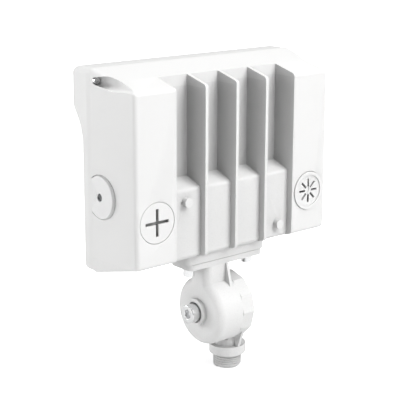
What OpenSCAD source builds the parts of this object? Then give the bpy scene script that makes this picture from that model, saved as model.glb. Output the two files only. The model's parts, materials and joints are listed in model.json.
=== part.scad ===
// Outdoor floodlight with a finned cast head on a tilting knuckle.
// The origin is on the stem's thread axis at the collar's underside. +Z is up and the lens faces -Y.
// The head stands off the stem's axis along X, because the knuckle's two arms lie side by side.

/* [Head casting] */
// Width of the housing where it meets the frame
front_w = 183; // [178:0.1:200]
// Draft of each side between the frame and the rear face
side_draft = 3.2; // [0:0.1:8]
// Depth of the housing from its rear face to the frame
housing_d = 46.2; // [44:0.1:56]
// Height of the rear face
rear_h = 121.4; // [112:0.1:140]
// Distance of the rear face behind the tilt axis
back_out = 20.2; // [18:0.1:24]
// Rise of the top face for each millimetre towards the frame
top_slope = 0.24; // [0.1:0.01:0.3]
// Fall of the bottom face for each millimetre towards the frame
bottom_slope = 0.23; // [0.1:0.01:0.25]
// Radius of the casting's outer edges
edge_r = 3; // [1:0.1:4]
// Thickness of the casting's walls
wall = 3; // [2:0.1:3.6]
// Width of the rim that the frame closes on
rim_w = 9; // [8:0.1:10]
// Radius of the gasket groove's corners
groove_r = 17; // [16:0.1:18]

/* [Heat sink] */
// Width of a side pillar beside the open trough
pillar_w = 34.2; // [33:0.1:36]
// Depth of the trough below the rear face
trough_d = 20.4; // [18:0.1:22]
// Number of fins in the trough
fin_count = 3; // [1:1:5]
// Distance from one fin to the next
fin_pitch = 27.7; // [20:0.1:28]
// Thickness of a fin
fin_t = 2.4; // [1.5:0.1:4]
// How far the fins stand out of the driver bulge
bulge_in = 5.2; // [3:0.1:7]
// Height of the bulge's rear face
bulge_h = 50; // [48:0.1:56]
// Rise of the shelf above the bulge
shelf_rise = 4.5; // [2:0.1:8]
// Radius of the bulge's upper edge
shelf_r = 3; // [1:0.1:4]

/* [Screw pockets] */
// Radius of a pocket at its floor
pocket_floor_r = 2.9; // [2.8:0.1:4]
// Radius of a pocket where it is widest
pocket_r = 5; // [4.4:0.1:6]
// Distance of that widest place from the pocket's floor
pocket_widest = 20; // [14:0.1:28]
// Radius of the pocket where it runs out at the rear
pocket_end_r = 3.6; // [3:0.1:5]
// Distance of the pocket's axis in from the housing's side
pocket_in = 2.4; // [2:0.1:4]
// Distance of the pocket's axis in from the housing's top
pocket_down = 8; // [7:0.1:10]
// Thickness left between a pocket and the frame
pocket_floor = 3; // [2.6:0.1:6]
// Distance of the two lower frame screws in from the frame's side and bottom
low_screw_in = 6; // [5.6:0.1:6.4]
// Depth of the lower screws' heads below the frame's front
low_screw_sink = 2.8; // [2.4:0.1:3.4]
// Radius of a frame screw's shank
frame_screw_r = 1.5; // [1.2:0.1:1.6]
// Radius of a frame screw's head
frame_head_r = 2.2; // [2:0.1:2.5]
// Height of a frame screw's head
frame_head_h = 2.2; // [1.6:0.1:2.4]
// Length of a frame screw below its head
frame_screw_l = 10; // [8:0.1:11]

/* [Front frame] */
// Thickness of the frame below its brow
frame_d = 9; // [8.5:0.1:11]
// How far the brow stands out past the frame
brow_d = 10.5; // [8:0.1:14]
// Height of the brow's straight front above its underside
brow_h = 26.4; // [22:0.1:32]
// Radius of the hollow sweep under the brow
brow_sweep_r = 37; // [25:0.1:45]
// Radius of the brow's lower lip
brow_lip_r = 6; // [3:0.1:8]
// Radius of the brow's upper edge
brow_top_r = 4; // [2:0.1:5]
// Radius of the frame's corners, seen from the front
frame_corner_r = 5; // [3:0.1:7]
// Step of the frame's side out past the housing
frame_lap = 0.5; // [0:0.1:1]
// Width of the frame around the lens
frame_rim = 13; // [12:0.1:16]
// Radius of the window's corners
window_r = 6; // [4:0.1:10]
// Depth of the bevel round the window
bevel_d = 3; // [1:0.1:4]
// Thickness of the lip in front of the lens
lip_t = 4.5; // [4:0.1:6]

/* [Lens and reflector] */
// How far the lens runs under the lip
lens_lap = 3; // [2:0.1:3.2]
// Thickness of the lens
lens_t = 3.2; // [2.5:0.1:3.2]
// Thickness of the lens gasket
lens_gasket_t = 1.2; // [0.8:0.1:1.2]
// Thickness of the reflector's sheet
reflector_t = 0.8; // [0.5:0.1:1.2]
// Distance of the reflector's rear opening in from the light board's ends
reflector_in = 13; // [12.5:0.1:15]
// Height of the light opening at the reflector's back
reflector_back_h = 26; // [20:0.1:28]
// Side clearance of loose parts in their seats
seat_gap = 0.3; // [0.2:0.05:0.5]

/* [Light engine] */
// Width of the light board
board_w = 80; // [76:0.1:84]
// Height of the light board
board_h = 42; // [40:0.1:44]
// Thickness of the light board
board_t = 1.6; // [1:0.1:2]
// Height of the board's middle above the rear face's lower edge
board_up = 86; // [84:0.1:92]
// Thickness of the thermal pad behind the board
pad_t = 0.6; // [0.3:0.1:1]
// Height of the cast seat behind the board
seat_h = 1.5; // [1:0.1:3]
// Least space between the end light sources and the reflector
led_edge = 1; // [0.6:0.1:2]
// Rows of light sources
led_rows = 3; // [1:1:3]
// Distance between light sources
led_pitch = 6.6; // [5:0.1:7]
// Side of a light source
led_w = 3.5; // [2:0.1:4]
// Height of a light source
led_t = 1; // [0.5:0.1:1.5]
// Radius of a board screw's shank
board_screw_r = 1.25; // [1:0.05:1.5]
// Radius of a board screw's head
board_head_r = 2.4; // [2:0.1:2.8]
// Height of a board screw's head
board_head_h = 1.6; // [1:0.1:2]
// Depth of a board screw in the casting
board_screw_in = 3; // [2:0.1:3.4]

/* [Driver] */
// Space left on each side of the driver's case
driver_side = 14.1; // [13:0.1:20]
// Height of the driver's case
driver_h = 37; // [30:0.1:37]
// Depth of the driver's case
driver_d = 20; // [14:0.1:20]
// Thickness of the driver's ears
ear_t = 1.6; // [1:0.1:3]
// Half the width of an ear
ear_r = 5; // [4:0.1:5]
// Distance of the upper right screw boss in from the trough's side
boss_a_in = 11.6; // [10.2:0.1:14]
// Height of that boss above the rear face's lower edge
boss_a_up = 40.6; // [38:0.1:41]
// Distance of the lower left screw boss in from the trough's side
boss_b_in = 10.6; // [10.2:0.1:14]
// Height of that boss above the rear face's lower edge
boss_b_up = 9.8; // [8.6:0.1:16]
// Radius of a screw boss on the bulge
boss_r = 3.3; // [2.8:0.1:4]
// Height of a screw boss on the bulge
boss_h = 4.3; // [3:0.1:5]
// Radius of a driver screw's shank
driver_screw_r = 1.5; // [1:0.1:1.8]
// Radius of a driver screw's head
driver_head_r = 2.9; // [2.5:0.1:3.5]
// Height of a driver screw's head
driver_head_h = 2; // [1.5:0.1:2.5]
// Depth of a driver screw in the casting
driver_screw_in = 5.5; // [4:0.1:6]

/* [Plug and vent] */
// Distance of the plug's and the vent's middle in from the rear face's side
plug_in = 17.7; // [16.4:0.1:18.4]
// Height of the plug and the vent above the rear face's lower edge
plug_up = 31.6; // [30:0.1:40]
// Radius of their heads
plug_r = 14.3; // [13:0.1:14.5]
// Thickness of their heads
plug_t = 2.4; // [2:0.1:3]
// Radius of their shanks
plug_shank_r = 10; // [8:0.1:10.5]
// Length of their shanks behind the head
plug_shank_l = 7.6; // [6:0.1:9]
// Thickness of their gaskets
plug_gasket_t = 0.6; // [0.4:0.1:0.8]
// Depth of the casting's thickened pad behind them
plug_pad_d = 7; // [6:0.1:8]
// Length of the cross slot
slot_l = 19.3; // [14:0.1:19.6]
// Width of the cross slot
slot_w = 2.2; // [1.5:0.1:3]
// Depth of the cross slot
slot_d = 3; // [1:0.1:3.4]
// Height of the vent's rim
vent_rim_h = 0.8; // [0.4:0.1:1.5]
// Width of the vent's rim
vent_rim_w = 2.4; // [1.5:0.1:3]
// Number of slots in the vent
vent_slots = 8; // [4:1:10]
// Width of a vent slot
vent_slot_w = 1.7; // [1:0.1:2]
// Radius of the solid middle of the vent
vent_hub_r = 3; // [3:0.1:4]
// Radius where the vent's slots end
vent_slot_end_r = 9; // [7:0.1:9]
// Thickness of the vent's membrane
membrane_t = 0.5; // [0.3:0.1:1]

/* [Photocell] */
// Distance of the photocell's axis in front of the tilt axis
photocell_out = 16.3; // [15.5:0.1:17]
// Height of the photocell above the rear face's lower edge
photocell_up = 45.3; // [40:0.1:70]
// Radius of the photocell's head, which is level with the frame's side
photocell_r = 15; // [13:0.1:15.2]
// Height of the photocell's head
photocell_h = 2.5; // [2.4:0.1:3.4]
// Step round the head's foot
photocell_step = 0.4; // [0.2:0.1:0.6]
// Height of that step
photocell_step_h = 1.2; // [0.6:0.1:1.6]
// Chamfer round the head's face
photocell_edge = 0.5; // [0.2:0.1:0.8]
// Radius of the photocell's threaded shank
photocell_shank_r = 6; // [5:0.1:6.5]
// Length of the shank past the wall's inner face
photocell_shank_in = 7; // [6:0.1:9]
// Radius of the photocell's window
eye_r = 2.8; // [2:0.1:4]
// Depth of the photocell's window
eye_d = 1.8; // [1:0.1:2.2]
// Thickness of the photocell's nut
photocell_nut_t = 4; // [3:0.1:5]
// Radius over the corners of the photocell's nut
photocell_nut_r = 8.5; // [8:0.1:9]

/* [Mounting pad and flange] */
// Distance that the pad under the housing runs past the flange's ends
pad_lap = 2.1; // [0.6:0.1:4.6]
// Distance of a flange bolt's middle in from the flange's end
bolt_in = 7; // [6:0.1:8]
// Distance of the flange's rear edge behind the tilt axis
flange_back = 10.5; // [10.5:0.1:12]
// Distance of the flange's front edge in front of the tilt axis
flange_front = 13; // [11:0.1:15]
// Height from the tilt axis to the flange's underside
flange_up = 35.9; // [34:0.1:42]
// Thickness of the flange
flange_t = 4.1; // [3:0.1:5]
// Radius of the flange's corners
flange_r = 4; // [2:0.1:6]
// Thickness of the flange gasket
flange_gasket_t = 0.4; // [0.3:0.1:1]
// Distance of the flange gasket's edge in from the flange's edge
flange_gasket_in = 0.4; // [0:0.1:2]
// Height of the pad below the rear face's lower edge
pad_h = 8.4; // [8:0.1:12]
// Clearance between the neck and the nearer bolt's head
bolt_gap = 4.15; // [3:0.05:5]
// Radius of a flange bolt's shank
bolt_r = 2.5; // [2:0.1:2.8]
// Radius of a flange bolt's head
bolt_head_r = 4.1; // [3.8:0.1:4.6]
// Height of a flange bolt's head
bolt_head_h = 6.8; // [4:0.1:7.2]
// Length of a flange bolt below its head
bolt_l = 13; // [10:0.1:13.4]

/* [Knuckle] */
// Height of the tilt axis above the collar's underside
pivot_h = 37.2; // [36.5:0.1:44]
// Distance of the head's middle from the thread axis
head_x = 9.5; // [8:0.1:12]
// Sideways place of the faces where the two arms meet
split_x = 6.3; // [5.5:0.1:6.8]
// Gap between the two arms
arm_gap = 0.3; // [0.3:0.05:0.5]
// Radius of the upper arm's drum
drum_r = 25.2; // [24:0.1:26]
// Thickness of the upper arm's drum
drum_t = 22.2; // [20:0.1:24]
// Rounding of the drum's outer edge
drum_round = 6; // [3:0.1:8]
// Thickness of the neck above the drum
neck_t = 19.2; // [16:0.1:21]
// Depth of the neck along the beam
neck_d = 21; // [18:0.1:21]
// Rounding of the neck's outer corners
neck_r = 6; // [3:0.1:8]
// Thickness of the thin gussets
gusset_t = 2.2; // [1.5:0.1:3]
// Reach of the upper gussets at the flange
gusset_top = 11.8; // [11:0.1:13]
// Reach of the upper gussets where they run into the drum
gusset_reach = 17.4; // [15:0.1:19]
// Height above the tilt axis where the upper gussets are that wide
gusset_up = 14.7; // [13:0.1:16]
// Radius of the ring boss round the pivot screw
ring_r = 10.1; // [9.5:0.1:12]
// Height of the ring boss
ring_h = 3; // [2:0.1:5]
// Radius of the counterbore in the ring boss
ring_bore_r = 7.75; // [7.4:0.05:8.5]
// Radius over the corners of the lower arm's faceted hub
hub_r = 25.4; // [24:0.1:26]
// Thickness of the lower arm's hub
hub_t = 12.2; // [11.8:0.1:14]
// Number of facets round the hub
hub_facets = 12; // [8:1:12]
// Chamfer on the hub's outer end
hub_chamfer = 2; // [1:0.1:3]
// Radius of the wiring hollow in the arms
hollow_r = 17; // [14:0.1:18]
// Radius of the pivot boss inside the hollow
pivot_boss_r = 8.5; // [8:0.1:10]

/* [Stem] */
// Radius of the stem's collar
collar_r = 13.6; // [13:0.1:15]
// Height of the stem's collar
collar_h = 6.8; // [5:0.1:8]
// Radius of the stem above its collar
stem_r = 9.9; // [9:0.1:10.4]
// Reach of the stem's gussets at the collar
stem_gusset_low = 13.2; // [12:0.1:13.4]
// Reach of the stem's gussets at the hub
stem_gusset_top = 19.5; // [16:0.1:20]
// Radius of the nipple's thread
thread_r = 10.45; // [10:0.05:11]
// Length of the nipple
thread_l = 11; // [9:0.1:18]
// Chamfer at the nipple's end
thread_chamfer = 1; // [0.5:0.1:1.5]
// Radius of the wireway through the nipple
wireway_r = 4.8; // [4:0.1:5]

/* [Pivot screw] */
// Radius of the pivot screw's shank
pivot_r = 4; // [3.5:0.1:4.2]
// Radius of the pivot screw's head
pivot_head_r = 6.7; // [6:0.1:7]
// Height of the pivot screw's head
pivot_head_h = 8; // [6:0.1:9]
// Size of its hexagon socket across the corners
socket_w = 6.9; // [5:0.1:8]
// Depth of its hexagon socket
socket_d = 4; // [2:0.1:5]
// Running clearance round the shank
pivot_fit = 0.05; // [0.02:0.01:0.1]
// Thickness of the lock washer
washer_t = 1.7; // [1:0.1:2]
// Opening cut in the lock washer
washer_cut = 1; // [0.5:0.1:2]
// Radius over the corners of the pivot nut
nut_r = 7.5; // [7:0.1:7.8]
// Thickness of the pivot nut
nut_t = 6.5; // [5.5:0.1:6.8]

/* [Hidden] */
$fn = 48;
hull_fn = 32;
// Overrun of every cut past the face that it opens
over = 1;
// Thin slice that closes a hull
slice = 0.6;
// Points in each rounded stretch of an outline
arc_steps = 8;

powder = "#f2f2f1";
bare_metal = "#c3c6c8";

// The head's faces, in the part's own frame
back_y = back_out;
split_y = back_y - housing_d;
frame_y = split_y - frame_d;
brow_y = frame_y - brow_d;
flange_z = pivot_h + flange_up;
pad_z = flange_z + flange_t + flange_gasket_t;
low_z = pad_z + pad_h;
high_z = low_z + rear_h;
front_top = high_z + top_slope * housing_d;
front_low = low_z - bottom_slope * housing_d;
rear_w = front_w - 2 * side_draft;
trough_w = rear_w - 2 * pillar_w;
trough_y = back_y - trough_d;
bulge_y = back_y - bulge_in;
bulge_z = low_z + bulge_h;

// The hollow behind the lens
sink_y = trough_y - wall;
cavity_w = front_w - 2 * rim_w;
cavity_low = front_low + rim_w;
cavity_top = front_top - rim_w;
cavity_r = edge_r + wall + 2;
bay_low = low_z + wall;
bay_top = bulge_z - wall;
bay_y = bulge_y - wall;
bay_w = trough_w - 2 * wall;
driver_w = bay_w - 2 * driver_side;
boss_a_x = trough_w / 2 - boss_a_in;
boss_b_x = trough_w / 2 - boss_b_in;
pillar_top = high_z - 2 * wall;
pillar_y = back_y - wall;

// Where the lower frame screws' heads bear and their tips end
low_screw_seat = frame_y + low_screw_sink;
low_screw_end = low_screw_seat + frame_screw_l;

// Gasket groove in the housing's rim
groove_w = rim_w / 3;
groove_d = groove_w * 2 / 3;

// Window, lens and what holds it
window_w = front_w + 2 * frame_lap - 2 * frame_rim;
window_low = front_low + frame_rim;
brow_low = front_top - brow_h;
window_top = brow_low - wall;
lens_w = window_w + 2 * lens_lap;
lens_low = window_low - lens_lap;
lens_top = window_top + lens_lap;
lens_r = window_r + lens_lap;
gasket_y = frame_y + lip_t;
lens_y = gasket_y + lens_gasket_t;
lens_back = lens_y + lens_t;

// Light board's layers, counted forward from the heat sink
board_z = low_z + board_up;
reflector_back_w = board_w - 2 * reflector_in;
led_cols = 1 + floor((reflector_back_w - 2 * led_edge - led_w) / led_pitch);
seat_y = sink_y - seat_h;
pad_y = seat_y - pad_t;
board_y = pad_y - board_t;
flange_y = board_y - reflector_t;
board_screw_x = board_w / 2 - 2 * board_head_r;
board_screw_z = board_h / 2 - board_head_r - wall / 4;

plug_x = rear_w / 2 - plug_in;
plug_z = low_z + plug_up;
photocell_z = low_z + photocell_up;
photocell_y = -photocell_out;
photocell_face = front_w / 2 + frame_lap;
photocell_seat = photocell_face - photocell_h;

arm_face = split_x + arm_gap / 2;
drum_face = arm_face + drum_t;
hub_face = split_x - arm_gap / 2;
hub_end = hub_face - hub_t;
ring_face = drum_face + ring_h;
ring_floor = drum_face - arm_gap;
screw_seat = ring_floor + arm_gap + washer_t;
neck_x = arm_face + wall + neck_t / 2;
bolt_pitch = 2 * (neck_x + neck_t / 2 - head_x + bolt_gap + bolt_head_r);
flange_w = bolt_pitch + 2 * bolt_in;
pad_w = flange_w + 2 * pad_lap;

// Points of an arc round [y, z], both ends included
function arc(y, z, r, from, to) =
    [for (i = [0:arc_steps]) let (a = from + (to - from) * i / arc_steps) [y + r * cos(a), z + r * sin(a)]];

// A side-view outline drawn in Y and Z, made w wide along X
module side_slab(w, points) {
    rotate([90, 0, 90]) linear_extrude(w, center = true) polygon(points);
}

// A round bar along Y
module y_rod(r, from, to) {
    translate([0, from, 0]) rotate([-90, 0, 0]) cylinder(r = r, h = to - from);
}

// A round bar along X
module x_rod(r, from, to) {
    translate([from, 0, 0]) rotate([0, 90, 0]) cylinder(r = r, h = to - from);
}

module round_rect(w, h, r) {
    square([w - 2 * r, h], center = true);
    square([w, h - 2 * r], center = true);
    for (x = [-1, 1], y = [-1, 1]) translate([x * (w / 2 - r), y * (h / 2 - r)]) circle(r);
}

// A plate seen from the front, from low to top, between two depths
module front_plate(w, low, top, r, from, to) {
    translate([0, to, (low + top) / 2]) rotate([90, 0, 0])
        linear_extrude(to - from) round_rect(w, top - low, r);
}

module at_head() {
    translate([head_x, 0, 0]) children();
}

// The two upper frame screws sit in the pockets
module at_pockets() {
    for (s = [-1, 1]) translate([s * (front_w / 2 - pocket_in), 0, front_top - pocket_down]) children();
}

// The two lower frame screws go in from the front
module at_low_screws() {
    for (s = [-1, 1])
        translate([s * (front_w / 2 + frame_lap - low_screw_in), 0, front_low + low_screw_in]) children();
}

module casting_form() {
    hull() {
        for (sx = [-1, 1]) {
            x = sx * (rear_w / 2 - edge_r);
            for (z = [low_z + edge_r, high_z - edge_r])
                translate([x, back_y - edge_r, z]) sphere(edge_r, $fn = hull_fn);
            for (z = [front_low + edge_r, front_top - edge_r])
                translate([sx * (front_w / 2 - edge_r), 0, z])
                    y_rod(edge_r, split_y, split_y + slice, $fn = hull_fn);
        }
    }
}

// What is left open behind the heat sink and the driver bulge
module trough_cut(from, to) {
    shelf = [trough_y, bulge_z + shelf_rise];
    outline = concat(
        [[trough_y, front_top + over], shelf],
        arc(bulge_y - shelf_r, bulge_z - shelf_r, shelf_r, 75, 0),
        arc(bulge_y - shelf_r, low_z + edge_r - over, shelf_r, 0, -60),
        [[bulge_y - shelf_r, low_z - bottom_slope * housing_d - over], [back_y + over, front_low - over],
         [back_y + over, front_top + over]]);
    translate([(from + to) / 2, 0, 0]) side_slab(to - from, outline);
}

module troughs() {
    fin_x = [for (i = [0:fin_count - 1]) (i - (fin_count - 1) / 2) * fin_pitch];
    lefts = concat([-trough_w / 2], [for (x = fin_x) x + fin_t / 2]);
    rights = concat([for (x = fin_x) x - fin_t / 2], [trough_w / 2]);
    for (i = [0:fin_count]) trough_cut(lefts[i], rights[i]);
}

// Scoop in a corner: it widens from its floor, then runs out at the rear edge
module pocket() {
    floor_y = split_y + pocket_floor;
    translate([0, floor_y, 0]) rotate([-90, 0, 0]) {
        cylinder(r1 = pocket_floor_r, r2 = pocket_r, h = pocket_widest);
        translate([0, 0, pocket_widest])
            cylinder(r1 = pocket_r, r2 = pocket_end_r, h = back_y + over - floor_y - pocket_widest);
    }
}

module hollow() {
    front_plate(cavity_w, cavity_low, cavity_top, cavity_r, split_y - over, sink_y);
    front_plate(bay_w, bay_low, bay_top, shelf_r, sink_y - over, bay_y);
    for (s = [-1, 1]) {
        inner = trough_w / 2 + wall;
        outer = cavity_w / 2;
        translate([s * (inner + outer) / 2, 0, 0])
            front_plate(outer - inner, bay_low, pillar_top, shelf_r, sink_y - over, pillar_y);
    }
}

module rim_ring(w, from, to) {
    difference() {
        front_plate(cavity_w + 2 * (rim_w - w), cavity_low - rim_w + w, cavity_top + rim_w - w,
                    groove_r, from, to);
        front_plate(cavity_w + 2 * (rim_w - w - groove_w), cavity_low - rim_w + w + groove_w,
                    cavity_top + rim_w - w - groove_w, groove_r - groove_w, from - over, to + over);
    }
}

module at_boss() {
    translate([boss_a_x, 0, low_z + boss_a_up]) children();
    translate([-boss_b_x, 0, low_z + boss_b_up]) children();
}

module at_board_screws() {
    for (x = [-1, 1], z = [-1, 1])
        translate([x * board_screw_x, 0, board_z + z * board_screw_z]) children();
}

module at_bolts() {
    for (s = [-1, 1]) translate([s * bolt_pitch / 2, 0, 0]) children();
}

// Housing: one casting with its pillars, fins, bulge and mounting pad
module housing() {
    pad_depth = flange_back + flange_front;
    pad_in_y = pillar_y - plug_pad_d + wall;
    color(powder) at_head() difference() {
        union() {
            difference() {
                casting_form();
                troughs();
                hollow();
            }
            translate([0, (flange_back - flange_front) / 2, pad_z])
                linear_extrude(bay_low - pad_z - over) round_rect(pad_w, pad_depth, flange_r);
            at_boss() y_rod(boss_r, bay_y + over, bulge_y + boss_h);
            for (s = [-1, 1]) translate([s * plug_x, 0, plug_z]) y_rod(plug_r + wall / 2, pad_in_y, pillar_y + over);
            front_plate(board_w + wall, board_z - board_h / 2 - wall / 2, board_z + board_h / 2 + wall / 2,
                        wall, seat_y, sink_y + over);
        }
        at_pockets() pocket();
        at_pockets() y_rod(frame_screw_r + seat_gap / 2, split_y - over, split_y + pocket_floor + over);
        at_low_screws() y_rod(frame_screw_r, split_y - over, low_screw_end + over / 2);
        rim_ring(groove_w, split_y - over, split_y + groove_d);
        for (s = [-1, 1]) translate([s * plug_x, 0, plug_z]) {
            y_rod(plug_r + seat_gap, back_y - plug_t - plug_gasket_t, back_y + over);
            y_rod(plug_shank_r + seat_gap / 2, pad_in_y - over, back_y);
        }
        translate([0, photocell_y, photocell_z]) {
            x_rod(photocell_shank_r + seat_gap / 2, cavity_w / 2 - over, photocell_face);
            x_rod(photocell_r + photocell_step + seat_gap, photocell_seat, photocell_face + over);
        }
        at_boss() y_rod(driver_screw_r, bay_y - over, bay_y + driver_screw_in);
        at_board_screws() y_rod(board_screw_r, seat_y - over, seat_y + board_screw_in);
        at_bolts() translate([0, 0, pad_z - over]) cylinder(r = bolt_r, h = bay_low - pad_z - over);
        translate([neck_x - head_x, 0, pad_z - over]) cylinder(r = wireway_r, h = bay_low - pad_z + 2 * over);
    }
}

// Side outline of the frame, from its rear lower corner round to its rear upper corner
function frame_outline() =
    let (sweep = acos(1 - brow_d / (brow_sweep_r + brow_lip_r)),
         lip_z = brow_low,
         start_z = lip_z - (brow_sweep_r + brow_lip_r) * sin(sweep))
    concat([[split_y, front_low]],
           arc(frame_y + brow_top_r / 2, front_low + brow_top_r / 2, brow_top_r / 2, 270, 180),
           arc(frame_y - brow_sweep_r, start_z, brow_sweep_r, 0, sweep),
           arc(brow_y + brow_lip_r, lip_z, brow_lip_r, 180 + sweep, 180),
           arc(brow_y + brow_top_r, front_top - brow_top_r, brow_top_r, 180, 90),
           [[split_y, front_top]]);

// Front frame: rim round the lens, with the hollow brow above it
module front_frame() {
    frame_w = front_w + 2 * frame_lap;
    color(powder) at_head() difference() {
        intersection() {
            side_slab(frame_w, frame_outline());
            front_plate(frame_w, front_low, front_top, frame_corner_r, brow_y - over, split_y + over);
        }
        front_plate(window_w, window_low, window_top, window_r, brow_y - over, split_y + over);
        hull() {
            front_plate(window_w, window_low, window_top, window_r, frame_y + bevel_d, frame_y + bevel_d + slice,
                        $fn = hull_fn);
            front_plate(window_w + 2 * bevel_d, window_low - bevel_d, window_top + bevel_d, window_r,
                        brow_y - slice, frame_y, $fn = hull_fn);
        }
        front_plate(lens_w + 2 * seat_gap, lens_low - seat_gap, lens_top + seat_gap, lens_r, gasket_y,
                    split_y + over);
        front_plate(cavity_w - wall, lens_top + seat_gap + wall, front_top - 2 * wall, wall, brow_y + 2 * wall,
                    split_y + over);
        at_pockets() y_rod(frame_screw_r, split_y + pocket_floor - frame_screw_l - over / 2, split_y + over);
        at_low_screws() {
            y_rod(frame_head_r + seat_gap, frame_y - over, low_screw_seat);
            y_rod(frame_screw_r + seat_gap / 2, low_screw_seat - over, split_y + over);
        }
    }
}

// Lens: flat toughened glass
module lens() {
    color("#dfeaee", 0.35) at_head() front_plate(lens_w, lens_low, lens_top, lens_r, lens_y, lens_back);
}

// Lens gasket: flat frame between the glass and the lip
module lens_gasket() {
    color("#303234") at_head() difference() {
        front_plate(lens_w, lens_low, lens_top, lens_r, gasket_y, lens_y);
        front_plate(window_w, window_low, window_top, window_r, gasket_y - over, lens_y + over);
    }
}

// Housing gasket: lies in the groove of the rim
module housing_gasket() {
    color("#303234") at_head() rim_ring(groove_w, split_y, split_y + groove_d);
}

// One sloping skin of the reflector, opened by grow all round
module reflector_form(grow) {
    hull() {
        front_plate(reflector_back_w + 2 * grow, board_z - reflector_back_h / 2 - grow,
                    board_z + reflector_back_h / 2 + grow, wall, flange_y - slice / 2, flange_y, $fn = hull_fn);
        front_plate(window_w - 2 * wall + 2 * grow, window_low + wall - grow, window_top - wall + grow, window_r,
                    lens_back, lens_back + slice, $fn = hull_fn);
    }
}

// Reflector: bright sheet from the light board out to the lens
module reflector() {
    color("#d8dadc") at_head() difference() {
        union() {
            reflector_form(reflector_t);
            front_plate(board_w - wall, board_z - board_h / 2, board_z + board_h / 2, wall, flange_y, board_y);
            front_plate(lens_w - wall, lens_low + wall / 2, lens_top - wall / 2, window_r, lens_back,
                        lens_back + reflector_t);
        }
        reflector_form(0);
        front_plate(reflector_back_w, board_z - reflector_back_h / 2, board_z + reflector_back_h / 2, wall,
                    flange_y - over, board_y + over);
        front_plate(window_w - 2 * wall, window_low + wall, window_top - wall, window_r, lens_back - over,
                    lens_back + slice / 2);
        at_board_screws() y_rod(board_screw_r + seat_gap / 2, flange_y - over, board_y + over);
    }
}

// Light board
module led_board() {
    color("#e9ebe6") at_head() difference() {
        front_plate(board_w, board_z - board_h / 2, board_z + board_h / 2, wall, board_y, pad_y);
        at_board_screws() y_rod(board_screw_r + seat_gap / 2, board_y - over, pad_y + over);
    }
}

// Light sources on the board
module leds() {
    color("#f3d36b") at_head()
        for (i = [0:led_cols - 1], j = [0:led_rows - 1])
            translate([(i - (led_cols - 1) / 2) * led_pitch, board_y - led_t / 2,
                       board_z + (j - (led_rows - 1) / 2) * led_pitch])
                cube([led_w, led_t, led_w], center = true);
}

// Thermal pad behind the board
module thermal_pad() {
    color("#9aa7b5") at_head() difference() {
        front_plate(board_w, board_z - board_h / 2, board_z + board_h / 2, wall, pad_y, seat_y);
        at_board_screws() y_rod(board_screw_r + seat_gap / 2, pad_y - over, seat_y + over);
    }
}

// Board screws: through the reflector's rear flange and the board into the casting
module board_screws() {
    color(bare_metal) at_head() at_board_screws() {
        y_rod(board_head_r, flange_y - board_head_h, flange_y);
        y_rod(board_screw_r, flange_y, seat_y + board_screw_in);
    }
}

// Driver: sealed case with two ears on the screw bosses
module driver() {
    middle = (bay_low + bay_top) / 2;
    color("#3b3f45") at_head() difference() {
        union() {
            front_plate(driver_w, middle - driver_h / 2, middle + driver_h / 2, wall, bay_y - driver_d, bay_y);
            hull() {
                translate([boss_a_x, 0, low_z + boss_a_up]) y_rod(ear_r, bay_y - ear_t, bay_y, $fn = hull_fn);
                translate([0, 0, low_z + boss_a_up]) y_rod(ear_r, bay_y - ear_t, bay_y, $fn = hull_fn);
            }
            hull() {
                translate([-boss_b_x, 0, low_z + boss_b_up]) y_rod(ear_r, bay_y - ear_t, bay_y, $fn = hull_fn);
                translate([0, 0, low_z + boss_b_up]) y_rod(ear_r, bay_y - ear_t, bay_y, $fn = hull_fn);
            }
        }
        at_boss() y_rod(driver_screw_r + seat_gap / 2, bay_y - ear_t - over, bay_y + over);
    }
}

// Driver screws
module driver_screws() {
    color(bare_metal) at_head() at_boss() {
        y_rod(driver_head_r, bay_y - ear_t - driver_head_h, bay_y - ear_t);
        y_rod(driver_screw_r, bay_y - ear_t, bay_y + driver_screw_in);
    }
}

// One frame screw with its head towards +Y, the head's underside at the origin
module frame_screw() {
    y_rod(frame_screw_r, -frame_screw_l, 0);
    difference() {
        y_rod(frame_head_r, 0, frame_head_h);
        for (turn = [0, 90])
            translate([0, frame_head_h, 0]) rotate([0, turn, 0])
                cube([1.5 * frame_head_r, frame_head_h, frame_screw_r / 2], center = true);
    }
}

// Frame screws: two in the pockets from behind, two from the front
module frame_screws() {
    color(bare_metal) at_head() {
        at_pockets() translate([0, split_y + pocket_floor, 0]) frame_screw();
        at_low_screws() translate([0, low_screw_seat, 0]) rotate([0, 0, 180]) frame_screw();
    }
}

module plug_blank() {
    seat = back_y - plug_t;
    y_rod(plug_r, seat, back_y);
    y_rod(plug_shank_r, seat - plug_shank_l, seat);
}

module plug_washer() {
    seat = back_y - plug_t;
    difference() {
        y_rod(plug_r, seat - plug_gasket_t, seat);
        y_rod(plug_shank_r + seat_gap / 2, seat - plug_gasket_t - over, seat + over);
    }
}

// Cover plug: closes the spare threaded hole, with a cross slot
module cover_plug() {
    color(powder) at_head() translate([plug_x, 0, plug_z]) difference() {
        plug_blank();
        for (turn = [0, 90])
            translate([0, back_y, 0]) rotate([0, turn, 0]) cube([slot_l, 2 * slot_d, slot_w], center = true);
    }
}

module plug_gasket() {
    color("#303234") at_head() translate([plug_x, 0, plug_z]) plug_washer();
}

// Vent plug: rim, dished face and a star of slots that reach the membrane
module vent_plug() {
    dish_r = plug_r - vent_rim_w;
    seat = back_y - plug_t;
    color(powder) at_head() translate([-plug_x, 0, plug_z]) difference() {
        union() {
            plug_blank();
            y_rod(plug_r, back_y, back_y + vent_rim_h);
        }
        y_rod(dish_r, back_y, back_y + vent_rim_h + over);
        y_rod(vent_slot_end_r, seat - plug_shank_l - over, seat);
        for (i = [0:vent_slots - 1]) rotate([0, i * 360 / vent_slots, 0])
            translate([vent_hub_r, seat - over, -vent_slot_w / 2])
                cube([vent_slot_end_r - vent_hub_r, plug_t + 2 * over, vent_slot_w]);
    }
}

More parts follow.
